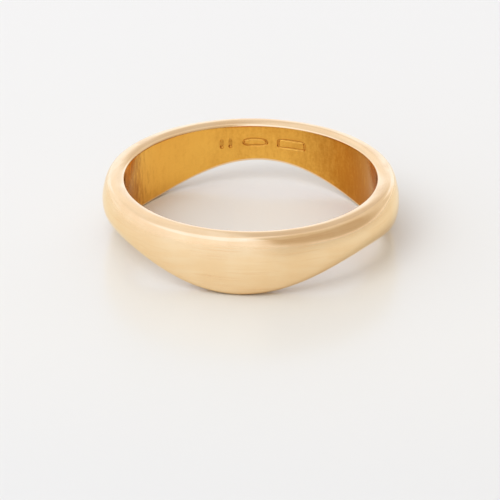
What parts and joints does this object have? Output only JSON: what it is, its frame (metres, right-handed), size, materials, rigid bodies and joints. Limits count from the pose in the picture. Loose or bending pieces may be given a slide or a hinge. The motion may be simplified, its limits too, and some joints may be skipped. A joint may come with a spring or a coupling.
{
  "type": "stackable ring",
  "caption": "Plain gold finger ring with a low domed outside, a flat upper edge and a smoothly waved lower edge that nests on a matching ring.",
  "frame": {"origin": "on the finger hole's axis, at the height of the lowest points of the waved edge", "axes": "+Z along the finger hole, towards the flat edge; -Y towards the front, where one low point of the wave lies; +X to the right seen from the front"},
  "size_m": [0.0198, 0.0198, 0.0043],
  "materials": {
    "rose_gold": "rose gold, polished, with fine wear scratches"
  },
  "bodies": {
    "root": {"band": "rose_gold"}
  },
  "joints": []
}
